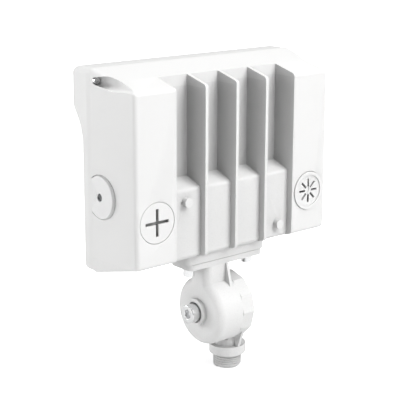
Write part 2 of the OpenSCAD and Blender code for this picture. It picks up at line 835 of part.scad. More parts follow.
module vent_gasket() {
    color("#303234") at_head() translate([-plug_x, 0, plug_z]) plug_washer();
}

// Vent membrane: thin disc behind the slots
module vent_membrane() {
    seat = back_y - plug_t;
    color("#ffffff") at_head() translate([-plug_x, 0, plug_z])
        y_rod(vent_slot_end_r - seat_gap / 2, seat - membrane_t, seat);
}

// Photocell: low round head, cut straight beside the frame, with a shank through the side wall
module photocell() {
    foot_r = photocell_r + photocell_step;
    edge_x = photocell_face - photocell_edge;
    color("#e9ebec") at_head() difference() {
        translate([0, photocell_y, photocell_z]) {
            x_rod(foot_r, photocell_seat, photocell_seat + photocell_step_h);
            x_rod(photocell_r, photocell_seat + photocell_step_h - slice, edge_x);
            translate([edge_x, 0, 0]) rotate([0, 90, 0])
                cylinder(r1 = photocell_r, r2 = photocell_r - photocell_edge, h = photocell_edge);
            x_rod(photocell_shank_r, cavity_w / 2 - photocell_shank_in, photocell_seat);
        }
        translate([photocell_seat - over, split_y - foot_r, photocell_z - foot_r])
            cube([photocell_h + 2 * over, foot_r + seat_gap, 2 * foot_r]);
        translate([0, photocell_y, photocell_z]) x_rod(eye_r, photocell_face - eye_d, photocell_face + over);
    }
}

// Photocell window: the small eye in the head
module photocell_window() {
    color("#5a6066") at_head() translate([0, photocell_y, photocell_z])
        x_rod(eye_r, photocell_face - eye_d, photocell_face - eye_d / 2);
}

// Photocell nut: holds the photocell from inside
module photocell_nut() {
    inner = cavity_w / 2;
    color(bare_metal) at_head() translate([0, photocell_y, photocell_z]) difference() {
        translate([inner - photocell_nut_t, 0, 0]) rotate([0, 90, 0])
            cylinder(r = photocell_nut_r, h = photocell_nut_t, $fn = 6);
        x_rod(photocell_shank_r, inner - photocell_nut_t - over, inner + over);
    }
}

// Plate of the flange's outline, drawn in by inset all round
module flange_plate(low, top, inset = 0) {
    translate([0, (flange_back - flange_front) / 2, low]) linear_extrude(top - low)
        round_rect(flange_w - 2 * inset, flange_back + flange_front - 2 * inset, flange_r - inset);
}

// Flange gasket between the knuckle and the housing's pad
module flange_gasket() {
    low = flange_z + flange_t;
    color("#303234") at_head() difference() {
        flange_plate(low, pad_z, flange_gasket_in);
        at_bolts() translate([0, 0, low - over]) cylinder(r = bolt_r + seat_gap / 2, h = pad_z - low + 2 * over);
        translate([neck_x - head_x, 0, low - over]) cylinder(r = wireway_r, h = pad_z - low + 2 * over);
    }
}

// Flange bolts: hexagon-socket heads under the flange
module flange_bolts() {
    color(bare_metal) at_head() at_bolts() {
        difference() {
            translate([0, 0, flange_z - bolt_head_h]) cylinder(r = bolt_head_r, h = bolt_head_h);
            translate([0, 0, flange_z - bolt_head_h - over])
                cylinder(r = bolt_r, h = bolt_head_h / 2 + over, $fn = 6);
        }
        translate([0, 0, flange_z]) cylinder(r = bolt_r, h = bolt_l);
    }
}

// Upper arm: flange, neck, gussets and a drum with the ring boss
module upper_arm() {
    skin = drum_t - drum_round;
    profile = concat([[0, 0], [drum_r, 0]],
                     [for (p = arc(drum_r - drum_round, skin, drum_round, 0, 90)) p], [[0, drum_t]]);
    hollow_t = drum_t - 2 * wall;
    color(powder) difference() {
        union() {
            at_head() flange_plate(flange_z, flange_z + flange_t);
            translate([arm_face, 0, pivot_h]) rotate([0, 90, 0]) rotate_extrude($fn = 2 * $fn) polygon(profile);
            translate([neck_x, 0, pivot_h]) linear_extrude(flange_up) round_rect(neck_t, neck_d, neck_r);
            translate([arm_face + wall, -neck_d / 2, pivot_h]) cube([neck_t - neck_r, neck_d, flange_up]);
            translate([arm_face + wall + gusset_t / 2, 0, 0])
                side_slab(gusset_t, [[-gusset_reach, pivot_h], [gusset_reach, pivot_h],
                                     [gusset_reach, pivot_h + gusset_up], [gusset_top, flange_z],
                                     [-gusset_top, flange_z], [-gusset_reach, pivot_h + gusset_up]]);
            translate([0, 0, pivot_h]) x_rod(ring_r, drum_face - over, ring_face);
        }
        translate([0, 0, pivot_h]) {
            difference() {
                x_rod(hollow_r, arm_face - over, arm_face + hollow_t);
                x_rod(pivot_boss_r, arm_face - 2 * over, arm_face + drum_t);
            }
            x_rod(pivot_r + pivot_fit, arm_face - over, ring_face + over);
            x_rod(ring_bore_r, ring_floor, ring_face + over);
        }
        translate([neck_x, 0, pivot_h + pivot_boss_r]) cylinder(r = wireway_r, h = flange_up);
        at_head() at_bolts() translate([0, 0, flange_z - over])
            cylinder(r = bolt_r + seat_gap / 2, h = flange_t + 2 * over);
    }
}

// Lower arm: faceted hub, stem, gussets, collar and the hollow threaded nipple
module lower_arm() {
    hub_low = pivot_h - hub_r;
    stem_top = pivot_h - nut_r - 2 * wall;
    color(powder) difference() {
        union() {
            translate([hub_end + hub_chamfer, 0, pivot_h]) rotate([0, 90, 0])
                cylinder(r = hub_r, h = hub_t - hub_chamfer, $fn = hub_facets);
            translate([hub_end, 0, pivot_h]) rotate([0, 90, 0])
                cylinder(r1 = hub_r - hub_chamfer, r2 = hub_r, h = hub_chamfer, $fn = hub_facets);
            translate([0, 0, collar_h - over])
                cylinder(r = stem_r, h = pivot_h - drum_r - arm_gap - collar_h + over);
            intersection() {
                union() {
                    translate([0, 0, collar_h]) cylinder(r = stem_r, h = stem_top - collar_h);
                    translate([0, 0, stem_top]) cylinder(r1 = stem_r, r2 = stem_r - wall, h = wall);
                }
                translate([-stem_r, -stem_r, collar_h]) cube([stem_r + hub_face, 2 * stem_r, pivot_h - collar_h]);
            }
            side_slab(gusset_t, [[-stem_gusset_low, collar_h - over], [stem_gusset_low, collar_h - over],
                                 [stem_gusset_low, collar_h], [stem_gusset_top, hub_low + stem_gusset_low],
                                 [stem_gusset_top, pivot_h], [-stem_gusset_top, pivot_h],
                                 [-stem_gusset_top, hub_low + stem_gusset_low], [-stem_gusset_low, collar_h]]);
            cylinder(r = collar_r, h = collar_h);
            translate([0, 0, thread_chamfer - thread_l]) cylinder(r = thread_r, h = thread_l - thread_chamfer + over);
            translate([0, 0, -thread_l])
                cylinder(r1 = thread_r - thread_chamfer, r2 = thread_r, h = thread_chamfer);
        }
        translate([0, 0, pivot_h]) {
            difference() {
                x_rod(hollow_r, hub_end + 1.5 * wall, hub_face + over);
                x_rod(pivot_boss_r, hub_end, hub_face + 2 * over);
            }
            x_rod(pivot_r + pivot_fit, hub_end - over, hub_face + over);
            translate([hub_end - over, 0, 0]) rotate([0, 90, 0])
                cylinder(r = nut_r + seat_gap / 2, h = nut_t + wall / 4 + over, $fn = 6);
        }
        translate([0, 0, -thread_l - over]) cylinder(r = wireway_r, h = pivot_h - hollow_r + wall + thread_l + over);
    }
}

// Pivot screw: socket-head cap screw through both arms
module pivot_screw() {
    tip = hub_end + wall / 4;
    color(bare_metal) translate([0, 0, pivot_h]) difference() {
        union() {
            x_rod(pivot_r, tip, screw_seat);
            x_rod(pivot_head_r, screw_seat, screw_seat + pivot_head_h);
        }
        translate([screw_seat + pivot_head_h - socket_d, 0, 0]) rotate([0, 90, 0])
            cylinder(d = socket_w, h = socket_d + over, $fn = 6);
    }
}

// Lock washer under the pivot screw's head, with its split
module lock_washer() {
    color(bare_metal) translate([0, 0, pivot_h]) difference() {
        x_rod(pivot_head_r, screw_seat - washer_t, screw_seat);
        x_rod(pivot_r + pivot_fit, screw_seat - washer_t - over, screw_seat + over);
        translate([screw_seat - washer_t - over, -washer_cut / 2, 0])
            cube([washer_t + 2 * over, washer_cut, pivot_head_r + over]);
    }
}

// Pivot nut: captive in the lower arm's outer face
module pivot_nut() {
    color(bare_metal) translate([hub_end + wall / 4, 0, pivot_h]) rotate([0, 90, 0]) difference() {
        cylinder(r = nut_r, h = nut_t, $fn = 6);
        translate([0, 0, -over]) cylinder(r = pivot_r, h = nut_t + 2 * over);
    }
}

housing();
front_frame();
lens();
lens_gasket();
housing_gasket();
reflector();
led_board();
leds();
thermal_pad();
board_screws();
driver();
driver_screws();
frame_screws();
cover_plug();
plug_gasket();
vent_plug();
vent_gasket();
vent_membrane();
photocell();
photocell_window();
photocell_nut();
flange_gasket();
flange_bolts();
upper_arm();
lower_arm();
pivot_screw();
lock_washer();
pivot_nut();
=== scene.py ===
# Outdoor floodlight on a tilting knuckle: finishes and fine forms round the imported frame
import json
import math

import bmesh
import bpy
from mathutils import Matrix, Vector


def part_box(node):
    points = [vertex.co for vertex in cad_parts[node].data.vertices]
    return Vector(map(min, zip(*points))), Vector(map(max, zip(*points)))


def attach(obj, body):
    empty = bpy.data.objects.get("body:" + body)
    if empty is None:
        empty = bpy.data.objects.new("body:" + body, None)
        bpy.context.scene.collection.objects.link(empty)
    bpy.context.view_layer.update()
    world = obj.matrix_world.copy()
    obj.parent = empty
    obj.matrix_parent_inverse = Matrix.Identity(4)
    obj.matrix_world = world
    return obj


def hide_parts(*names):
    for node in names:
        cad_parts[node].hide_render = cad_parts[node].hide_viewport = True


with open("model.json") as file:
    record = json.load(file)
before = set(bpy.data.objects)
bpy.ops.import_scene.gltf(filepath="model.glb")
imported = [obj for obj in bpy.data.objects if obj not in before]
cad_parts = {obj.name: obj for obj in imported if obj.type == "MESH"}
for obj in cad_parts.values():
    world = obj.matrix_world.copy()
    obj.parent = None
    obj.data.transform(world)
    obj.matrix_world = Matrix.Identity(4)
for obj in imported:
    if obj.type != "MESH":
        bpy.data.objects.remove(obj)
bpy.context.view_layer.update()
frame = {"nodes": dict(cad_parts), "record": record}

mm = 0.001
nodes = frame["nodes"]
slotOf = {row["node"]: row["material_slot"] for row in frame["record"]["subparts"]}
bodyOf = {name: body for body, names in frame["record"]["behaviour"]["bodies"].items() for name in names}
mountSizes = {mount["name"]: mount["dims"] for mount in frame["record"]["mounts"]}
print("frame loaded:", len(nodes), "nodes")


# Node trees and their maths
class Signal:
    # a socket that adds, multiplies and compares like a number
    def __init__(self, tree, socket):
        self.tree = tree
        self.socket = socket

    def maths(self, operation, first, second):
        return self.tree.node("ShaderNodeMath", {"operation": operation}, first, second)

    def __add__(self, other):
        return self.maths("ADD", self, other)

    def __sub__(self, other):
        return self.maths("SUBTRACT", self, other)

    def __rsub__(self, other):
        return self.maths("SUBTRACT", other, self)

    def __mul__(self, other):
        return self.maths("MULTIPLY", self, other)

    def __gt__(self, other):
        return self.maths("GREATER_THAN", self, other)

    def __lt__(self, other):
        return self.maths("LESS_THAN", self, other)

    def orMore(self, other):
        return self.maths("MAXIMUM", self, other)

    def orLess(self, other):
        return self.maths("MINIMUM", self, other)

    __radd__ = __add__
    __rmul__ = __mul__


class Tree:
    # one short way to add any node, with its settings first and then its sockets
    def __init__(self, tree):
        self.nodes = tree.nodes
        self.links = tree.links

    def node(self, kind, settings=None, *values, out=0, **named):
        made = self.nodes.new(kind)
        for key, value in (settings or {}).items():
            if key == "stops":
                self.fillRamp(made.color_ramp, value)
            else:
                setattr(made, key, value)
        sockets = list(enumerate(values)) + [(key.replace("_", " "), value) for key, value in named.items()]
        for key, value in sockets:
            self.feed(made.inputs[key], value)
        return Signal(self, made.outputs[out])

    def fillRamp(self, ramp, stops):
        while len(ramp.elements) < len(stops):
            ramp.elements.new(0.5)
        for element, (position, shade) in zip(ramp.elements, stops):
            element.position = position
            element.color = (shade, shade, shade, 1)

    def feed(self, socket, value):
        if isinstance(value, Signal):
            self.links.new(value.socket, socket)
        elif hasattr(value, "__len__") and len(socket.default_value) == 4 and len(value) == 3:
            socket.default_value = (*value, 1)
        else:
            socket.default_value = value


class Finish(Tree):
    # one material with its Principled shader; its patterns read the piece's own coordinates
    def __init__(self, name, **fixed):
        self.material = bpy.data.materials.new(name)
        self.material.use_nodes = True
        super().__init__(self.material.node_tree)
        self.shader = self.nodes["Principled BSDF"]
        self.set(**fixed)
        self.place = self.node("ShaderNodeTexCoord", out="Object")

    def set(self, **named):
        for key, value in named.items():
            self.feed(self.shader.inputs[key.replace("_", " ")], value)

    def noise(self, scale, detail=3, roughness=0.5, stretch=None):
        place = self.place
        if stretch:
            place = self.node("ShaderNodeMapping", Vector=place, Scale=stretch)
        return self.node("ShaderNodeTexNoise", out="Fac", Vector=place, Scale=scale, Detail=detail,
                         Roughness=roughness)

    def blend(self, mask, low, high):
        return self.node("ShaderNodeMix", {"data_type": "RGBA"}, out="Result", Factor=mask, A=low, B=high)

    def shaded(self, mask, colour, share):
        # the colour, dimmed to a share of itself where the mask is black
        return self.blend(mask, [value * share for value in colour], colour)

    def bump(self, height, strength, depth, under=None):
        extra = {"Normal": under} if under else {}
        return self.node("ShaderNodeBump", Strength=strength, Distance=depth, Height=height, **extra)


# White powder coat: a fine orange peel all over, and the casting's coarser grain in the trough and on the
# knuckle, which were not dressed. Light that bounces between the white walls is dimmed, so that the fins
# and the trough keep their shade.
powder = {
    "white": (0.8, 0.8, 0.796), "bounceCut": 0.7, "rough": 0.44, "roughSpread": 0.14,
    "cloudScale": 28, "cloudShare": 0.975,
    "peelScale": 900, "peelStrength": 0.25, "peelDepth": 0.08 * mm,
    "gritScale": 2600, "gritStrength": 0.5, "gritDepth": 0.06 * mm,
    "castScale": 1500, "castStrength": 0.35, "castDepth": 0.4 * mm,
    "specks": ((0.3, 0.5), (0.5, 0.0), (0.62, 0.0)), "speckShare": 0.8,
}
trough = {"from": -46.5 * mm, "to": 65.5 * mm, "behind": -1.5 * mm, "top": 204.5 * mm}
knuckleTop = 86.5 * mm

# Painted shade: the coat's colour is darkened deep down in the trough, and more inside the cover plug's
# cross slot
troughPaintedShade = {"cut": 0.06, "above": 73.1 * mm, "until": 19 * mm, "fade": 3.5 * mm}
slotPaintedShade = {"cut": 0.55, "reach": 9.9 * mm, "under": 0.2 * mm, "fade": 1.5 * mm}


def sunkBelow(y, level, fade):
    # 0 at the level, and 1 from a fade's depth under it
    return ((level - y) * (1 / fade)).orMore(0).orLess(1)


def troughMask(x, y, z):
    return (x > trough["from"]) * (x < trough["to"]) * (y > trough["behind"]) * (z < trough["top"])


def slotMask(x, y, z):
    low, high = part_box("cover_plug")
    middleX = (low[0] + high[0]) / 2
    middleZ = (low[2] + high[2]) / 2
    reach = slotPaintedShade["reach"]
    across = (x > middleX - reach) * (x < middleX + reach)
    return across * (z > middleZ - reach) * (z < middleZ + reach) * (y > trough["behind"])


def powderCoat(name):
    coat = Finish(name, IOR=1.5, Specular_IOR_Level=0.42)
    x, y, z = (coat.node("ShaderNodeSeparateXYZ", None, coat.place, out=axis) for axis in "XYZ")
    inTrough = troughMask(x, y, z)
    undressed = inTrough.orMore(z < knuckleTop)
    deepInTrough = sunkBelow(y, troughPaintedShade["until"], troughPaintedShade["fade"])
    # painted shade deep in the trough: a share of the coat's colour is taken away there
    troughShadeMask = inTrough * (z > troughPaintedShade["above"]) * deepInTrough * troughPaintedShade["cut"]
    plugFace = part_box("cover_plug")[1][1]
    deepInSlot = sunkBelow(y, plugFace - slotPaintedShade["under"], slotPaintedShade["fade"])
    # painted shade inside the cover plug's cross slot, where the real slot lies in shade
    slotShadeMask = slotMask(x, y, z) * deepInSlot * slotPaintedShade["cut"]

    peel = coat.noise(powder["peelScale"], detail=2)
    grit = coat.noise(powder["gritScale"], detail=2, roughness=0.6)
    cast = coat.noise(powder["castScale"], roughness=0.65)
    cloud = coat.noise(powder["cloudScale"], roughness=0.6)
    tint = coat.shaded(cloud, powder["white"], powder["cloudShare"])
    # the painted shade darkens the coat's colour towards black in the trough and in the cross slot
    tint = coat.blend(troughShadeMask.orMore(slotShadeMask), tint, (0, 0, 0))
    specks = coat.node("ShaderNodeValToRGB", {"stops": powder["specks"]}, cast, out="Color")
    tint = coat.blend(undressed * specks, tint, [value * powder["speckShare"] for value in powder["white"]])
    bounced = coat.node("ShaderNodeLightPath", out="Is Diffuse Ray")
    coat.set(Base_Color=coat.blend(powder["bounceCut"] * bounced, tint, (0, 0, 0)))
    coat.set(Roughness=powder["rough"] + powder["roughSpread"] * peel)
    peeled = coat.bump(peel, powder["peelStrength"], powder["peelDepth"])
    gritty = coat.bump(grit, powder["gritStrength"], powder["gritDepth"], peeled)
    coat.set(Normal=coat.bump(undressed * cast, powder["castStrength"], powder["castDepth"], gritty))
    return coat.material


# Turned or plated metal with fine scratches
metalWear = {"streakScale": 420, "stretch": (1, 1, 14), "roughSpread": 0.16, "strength": 0.15,
             "depth": 0.04 * mm, "cloudScale": 160, "cloudShare": 0.82}


def plainMetal(name, colour, rough):
    metal = Finish(name, Metallic=1.0)
    streak = metal.noise(metalWear["streakScale"], detail=4, roughness=0.65, stretch=metalWear["stretch"])
    cloud = metal.noise(metalWear["cloudScale"], detail=2)
    metal.set(Base_Color=metal.shaded(cloud, colour, metalWear["cloudShare"]))
    metal.set(Roughness=rough + metalWear["roughSpread"] * streak)
    metal.set(Normal=metal.bump(streak, metalWear["strength"], metalWear["depth"]))
    return metal.material


rubberGrain = {"scale": 1500, "share": 0.8, "rough": 0.66, "roughSpread": 0.16, "strength": 0.3,
               "depth": 0.05 * mm}


def softRubber(name, colour):
    rubber = Finish(name, Specular_IOR_Level=0.3)
    grit = rubber.noise(rubberGrain["scale"], detail=2, roughness=0.6)
    rubber.set(Base_Color=rubber.shaded(grit, colour, rubberGrain["share"]))
    rubber.set(Roughness=rubberGrain["rough"] + rubberGrain["roughSpread"] * grit)
    rubber.set(Normal=rubber.bump(grit, rubberGrain["strength"], rubberGrain["depth"]))
    return rubber.material


plasticGrain = {"scale": 1300, "roughSpread": 0.1, "strength": 0.2, "depth": 0.05 * mm,
                "cloudScale": 60, "cloudShare": 0.95}


def mouldedPlastic(name, colour, rough, lacquer=0.0):
    plastic = Finish(name, Coat_Roughness=0.12, Coat_Weight=lacquer)
    grit = plastic.noise(plasticGrain["scale"], detail=2, roughness=0.6)
    cloud = plastic.noise(plasticGrain["cloudScale"], detail=2)
    plastic.set(Base_Color=plastic.shaded(cloud, colour, plasticGrain["cloudShare"]))
    plastic.set(Roughness=rough + plasticGrain["roughSpread"] * grit)
    plastic.set(Normal=plastic.bump(grit, plasticGrain["strength"], plasticGrain["depth"]))
    return plastic.material


# Clear where it is looked straight through, and closed at a grazing angle
lensLook = {"tint": (0.92, 0.97, 0.97), "index": 1.5, "rough": 0.03, "straight": 0.07, "grazing": 0.9}


def clearGlass(name):
    glass = Finish(name, Base_Color=lensLook["tint"], IOR=lensLook["index"], Roughness=lensLook["rough"])
    edge = glass.node("ShaderNodeFresnel", IOR=lensLook["index"])
    glass.set(Alpha=lensLook["straight"] + lensLook["grazing"] * edge)
    return glass.material


finishes = {
    "powder_coat": powderCoat("powderCoat"),
    "gasket_rubber": softRubber("gasketRubber", (0.3, 0.3, 0.31)),
    "bright_sheet": plainMetal("brightSheet", (0.9, 0.9, 0.91), 0.1),
    "pale_rubber": softRubber("paleRubber", (0.6, 0.6, 0.6)),
    "board_mask": mouldedPlastic("boardMask", (0.84, 0.85, 0.82), 0.35),
    "phosphor": mouldedPlastic("phosphor", (0.92, 0.72, 0.18), 0.3, 0.5),
    "pad_rubber": softRubber("padRubber", (0.3, 0.36, 0.44)),
    "screw_steel": plainMetal("screwSteel", (0.84, 0.845, 0.85), 0.12),
    "driver_case": mouldedPlastic("driverCase", (0.05, 0.05, 0.055), 0.5),
    "membrane": softRubber("membrane", (0.1, 0.1, 0.1)),
    "button_plastic": mouldedPlastic("buttonPlastic", (0.8, 0.8, 0.8), 0.4, 0.1),
    "eye_plastic": mouldedPlastic("eyePlastic", (0.05, 0.055, 0.06), 0.16, 0.6),
    "lens_glass": clearGlass("lensGlass"),
}
for name, piece in nodes.items():
    piece.data.materials.clear()
    piece.data.materials.append(finishes[slotOf[name]])
print("finishes made:", len(finishes))


# Meshes and pieces
def smoothFaces(mesh, angle):
    mesh.polygons.foreach_set("use_smooth", [True] * len(mesh.polygons))
    mesh.set_sharp_from_angle(angle=math.radians(angle))


def meshFrom(form, name):
    mesh = bpy.data.meshes.new(name)
    form.to_mesh(mesh)
    form.free()
    return mesh


def addPiece(name, mesh, body, slot, node):
    piece = bpy.data.objects.new(name, mesh)
    bpy.context.scene.collection.objects.link(piece)
    if not mesh.materials:
        mesh.materials.append(finishes[slot])
    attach(piece, body)
    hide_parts(node)
    return piece


def ringOf(form, radius, height, steps, axis):
    # a circle of vertices round Z or Y
    ring = []
    for step in range(steps):
        turn = 2 * math.pi * step / steps
        across = radius * math.cos(turn)
        along = radius * math.sin(turn)
        ring.append(form.verts.new((across, along, height) if axis == "Z" else (across, height, along)))
    return ring


def bridge(form, ring, after):
    for step, vertex in enumerate(ring):
        beside = (step + 1) % len(ring)
        form.faces.new((vertex, after[step], after[beside], ring[beside]))


# CAD pieces with their corners rounded, as a casting or a turned piece has them
rounded = {
    "housing": {"radius": 0.6 * mm, "steps": 3},
    "front_frame": {"radius": 0.6 * mm, "steps": 3},
    "upper_arm": {"radius": 0.8 * mm, "steps": 3},
    "cover_plug": {"radius": 0.3 * mm, "steps": 2},
    "vent_plug": {"radius": 0.3 * mm, "steps": 2},
    "photocell": {"radius": 0.2 * mm, "steps": 2},
    "flange_bolts": {"radius": 0.4 * mm, "steps": 2},
    "pivot_screw": {"radius": 0.5 * mm, "steps": 2},
    "frame_screws": {"radius": 0.3 * mm, "steps": 2},
}
corners = {"angle": 32, "flat": 0.6, "merge": 0.002 * mm}        # the first two in degrees

# Where the frame closes on the housing. The last stretch of the frame's side slopes down to the housing's
# side, so that the frame's lap casts no line.
seam = {"pieces": ("housing", "front_frame"), "y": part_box("housing")[0][1], "reach": 0.02 * mm,
        "slope": 3.5 * mm}


def onSeam(vertex):
    return abs(vertex.co.y - seam["y"]) < seam["reach"]


def cleanCopy(node):
    form = bmesh.new()
    form.from_mesh(nodes[node].data)
    bmesh.ops.remove_doubles(form, verts=form.verts, dist=corners["merge"])
    flat = math.radians(corners["flat"])
    bmesh.ops.dissolve_limit(form, angle_limit=flat, verts=form.verts, edges=form.edges)
    return form


def cutAcross(form, at, facing, clear=False):
    parts = form.verts[:] + form.edges[:] + form.faces[:]
    bmesh.ops.bisect_plane(form, geom=parts, plane_co=at, plane_no=facing, clear_outer=clear)


def slopeLap(form):
    low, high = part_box("housing")
    cutAcross(form, (0, seam["y"] - seam["slope"], 0), (0, 1, 0))
    for vertex in form.verts:
        if onSeam(vertex):
            vertex.co.x = min(max(vertex.co.x, low[0]), high[0])


# Edges on the seam stay sharp, so that no groove shows there
def markCorners(form, onFrame=False):
    weight = form.edges.layers.float.new("bevel_weight_edge")
    for edge in form.edges:
        isCorner = edge.calc_face_angle(0) > math.radians(corners["angle"])
        isSeam = onFrame and all(onSeam(vertex) for vertex in edge.verts)
        edge[weight] = 1.0 if isCorner and not isSeam else 0.0


def roundCorners(piece, radius, steps):
    edge = piece.modifiers.new("corners", "BEVEL")
    edge.limit_method = "WEIGHT"
    edge.width = radius
    edge.segments = steps
    edge.use_clamp_overlap = True
    edge.miter_outer = "MITER_ARC"
    edge.harden_normals = False


def dress(node, corner):
    form = cleanCopy(node)
    if node == "front_frame":
        slopeLap(form)
    markCorners(form, node in seam["pieces"])
    mesh = meshFrom(form, node + "Form")
    smoothFaces(mesh, corners["angle"])
    roundCorners(addPiece(node + "Form", mesh, bodyOf[node], slotOf[node], node), **corner)


for name, corner in rounded.items():
    dress(name, corner)
print("rounded pieces:", len(rounded))


# Repeats and paths
class Graph(Tree):
    # a Geometry Nodes tree with named sizes, run once and kept as a plain mesh
    def __init__(self, name, sizes):
        self.group = bpy.data.node_groups.new(name, "GeometryNodeTree")
        self.group.is_modifier = True
        super().__init__(self.group)
        self.sizes = sizes
        self.group.interface.new_socket("Geometry", in_out="INPUT", socket_type="NodeSocketGeometry")
        for key, value in sizes.items():
            kind = "NodeSocketInt" if isinstance(value, int) else "NodeSocketFloat"
            self.group.interface.new_socket(key, in_out="INPUT", socket_type=kind)
        self.group.interface.new_socket("Geometry", in_out="OUTPUT", socket_type="NodeSocketGeometry")

    def given(self, key):
        return self.node("NodeGroupInput", out=key)

    def point(self, x, y, z=0.0):
        return self.node("ShaderNodeCombineXYZ", None, x, y, z)

    def run(self, geometry, material, start=None):
        solid = self.node("GeometryNodeRealizeInstances", Geometry=geometry)
        painted = self.node("GeometryNodeSetMaterial", Geometry=solid, Material=material)
        result = self.nodes.new("NodeGroupOutput")
        self.feed(result.inputs["Geometry"], painted)
        name = self.group.name
        carrier = bpy.data.objects.new(name, start or bpy.data.meshes.new(name))
        bpy.context.scene.collection.objects.link(carrier)
        modifier = carrier.modifiers.new("graph", "NODES")
        modifier.node_group = self.group
        for item in self.group.interface.items_tree:
            if item.in_out == "INPUT" and item.name in self.sizes:
                modifier[item.identifier] = self.sizes[item.name]
        evaluated = carrier.evaluated_get(bpy.context.evaluated_depsgraph_get())
        mesh = bpy.data.meshes.new_from_object(evaluated)
        bpy.data.objects.remove(carrier)
        return mesh


# Threaded nipple: the lower arm's own form ends above it, and a turned core carries one swept ridge.
# Flank and crown are shares of the pitch, and sunk is a share of the ridge's depth.
thread = {
    "pitch": 1.814 * mm, "crest": mountSizes["thread"]["r_mm"] * mm, "root": 9.5 * mm,
    "low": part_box("lower_arm")[0][2], "top": -1.2 * mm, "spiralSteps": 64, "smooth": 25,
    "flank": 0.46, "crown": 0.09, "sunk": 0.25,
}
nipple = {"bore": mountSizes["wireway"]["r_mm"] * mm, "cutAt": -0.2 * mm, "chamfer": 0.9 * mm,
          "steps": 96, "smooth": 40}
stem = {"corner": {"radius": 0.5 * mm, "steps": 3}, "smooth": 28}


def lowerArmAboveThread():
    form = cleanCopy("lower_arm")
    cutAcross(form, (0, 0, nipple["cutAt"]), (0, 0, -1), clear=True)
    rim = [edge for edge in form.edges if edge.is_boundary]
    bmesh.ops.triangle_fill(form, edges=rim, use_beauty=True)
    markCorners(form)
    mesh = meshFrom(form, "lowerArmForm")
    smoothFaces(mesh, stem["smooth"])
    roundCorners(addPiece("lowerArmForm", mesh, "stem", "powder_coat", "lower_arm"), **stem["corner"])


def nippleCore():
    root = thread["root"]
    low = thread["low"]
    top = nipple["cutAt"] / 2
    bore = nipple["bore"]
    chamfer = nipple["chamfer"]
    outline = ((bore, top), (root, top), (root, low + chamfer),
               (root - chamfer, low), (bore + chamfer / 2, low), (bore, low + chamfer / 2))
    form = bmesh.new()
    rings = [ringOf(form, radius, height, nipple["steps"], "Z") for radius, height in outline]
    for ring, after in zip(rings, rings[1:] + rings[:1]):
        bridge(form, ring, after)
    bmesh.ops.recalc_face_normals(form, faces=form.faces)
    mesh = meshFrom(form, "nippleCore")
    smoothFaces(mesh, nipple["smooth"])
    addPiece("nippleCore", mesh, "stem", "powder_coat", "lower_arm")


def nippleThread():
    threaded = thread["top"] - thread["low"] - nipple["chamfer"]
    sizes = {"Pitch": thread["pitch"], "Root": thread["root"], "Depth": thread["crest"] - thread["root"],
             "Top": thread["top"], "Turns": threaded / thread["pitch"]}
    graph = Graph("threadTree", sizes)
    pitch, root, depth, top, turns = (graph.given(key) for key in sizes)
    height = turns * pitch
    spiral = graph.node("GeometryNodeCurveSpiral", Resolution=thread["spiralSteps"], Rotations=turns,
                        Start_Radius=root, End_Radius=root, Height=height)
    upright = graph.node("GeometryNodeSetCurveNormal", {"mode": "Z_UP"}, Curve=spiral)
    half = pitch * thread["flank"]
    crown = pitch * thread["crown"]
    sunk = depth * thread["sunk"]
    crest = depth * -1.0
    outline = ((sunk, half), (crest, crown), (crest, crown * -1.0), (sunk, half * -1.0))
    points = {f"Point_{number}": graph.point(*place) for number, place in enumerate(outline, 1)}
    ridge = graph.node("GeometryNodeCurvePrimitiveQuadrilateral", {"mode": "POINTS"}, **points)
    sweep = graph.node("GeometryNodeCurveToMesh", Curve=upright, Profile_Curve=ridge, Fill_Caps=True)
    start = graph.point(0.0, 0.0, top - height)
    placed = graph.node("GeometryNodeTransform", Geometry=sweep, Translation=start)
    mesh = graph.run(placed, finishes["powder_coat"])
    form = bmesh.new()
    form.from_mesh(mesh)
    bmesh.ops.remove_doubles(form, verts=form.verts, dist=corners["merge"])
    bmesh.ops.recalc_face_normals(form, faces=form.faces)
    form.to_mesh(mesh)
    form.free()
    smoothFaces(mesh, thread["smooth"])
    reach = max(vertex.co.xy.length for vertex in mesh.vertices)
    print("thread:", len(mesh.polygons), "faces, out to", round(reach, 5))
    addPiece("nippleThread", mesh, "stem", "powder_coat", "lower_arm")


lowerArmAboveThread()
nippleCore()
nippleThread()
print("nipple threaded")


# Light sources behind the lens: each has a body, a solder pad and a domed phosphor
leds = {
    "columns": 8, "rows": 3, "pitch": 6.6 * mm, "smooth": 30,
    "side": 3.5 * mm, "body": 0.65 * mm, "corner": 0.12 * mm, "pad": (4.3 * mm, 0.04 * mm, 2.4 * mm),
    "dome": 0.35 * mm, "domeRadius": 1.45 * mm, "steps": 20, "rings": 5,
}
ledHeight = leds["body"] + leds["dome"]


def blockMesh(name, size, corner=None):
    # a block that stands on the board, the light's height behind the dome's tip
    form = bmesh.new()
    bmesh.ops.create_cube(form, size=1)
    middle = ledHeight - size[1] / 2
    for vertex in form.verts:
        x, y, z = vertex.co
        vertex.co = x * size[0], y * size[1] + middle, z * size[2]
    if corner:
        bmesh.ops.bevel(form, geom=form.edges[:], offset=corner, segments=2, affect="EDGES")
    return meshFrom(form, name)


def domeMesh(name):
    form = bmesh.new()
    rings = []
    for row in range(leds["rings"]):
        tilt = math.pi / 2 * row / leds["rings"]
        radius = leds["domeRadius"] * math.cos(tilt)
        rings.append(ringOf(form, radius, leds["dome"] * (1 - math.sin(tilt)), leds["steps"], "Y"))
    for ring, after in zip(rings, rings[1:]):
        bridge(form, ring, after)
    tip = form.verts.new((0, 0, 0))
    last = rings[-1]
    for vertex, beside in zip(last, last[1:] + last[:1]):
        form.faces.new((vertex, beside, tip))
    form.faces.new(rings[0])
    bmesh.ops.recalc_face_normals(form, faces=form.faces)
    return meshFrom(form, name)


